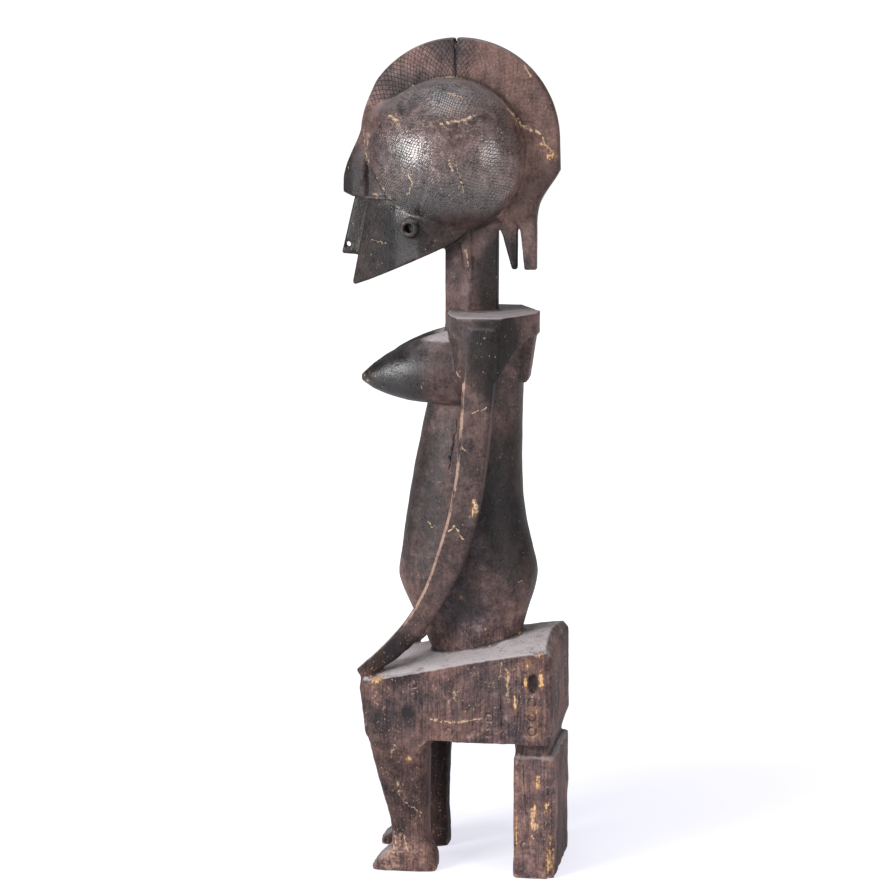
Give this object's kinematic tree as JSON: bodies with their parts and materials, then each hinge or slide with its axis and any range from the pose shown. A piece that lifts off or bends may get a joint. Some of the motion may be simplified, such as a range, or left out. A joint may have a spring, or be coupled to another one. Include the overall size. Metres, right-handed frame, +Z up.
{
  "type": "seated female wooden figure",
  "caption": "Carved wooden figure of a seated woman with a crested coiffure, long flat arms resting on the knees and a stool with one broad rear post.",
  "frame": {"origin": "centre of the bounding box's underside, on the plane that the feet and the rear post stand on", "axes": "+Z up, -Y the way the figure faces, +X to the figure's left"},
  "size_m": [0.1302, 0.183, 0.68],
  "materials": {
    "wood": "dark handled wood, worn to a dull shine on raised edges"
  },
  "bodies": {
    "root": {"seated_figure": "wood"}
  },
  "joints": []
}
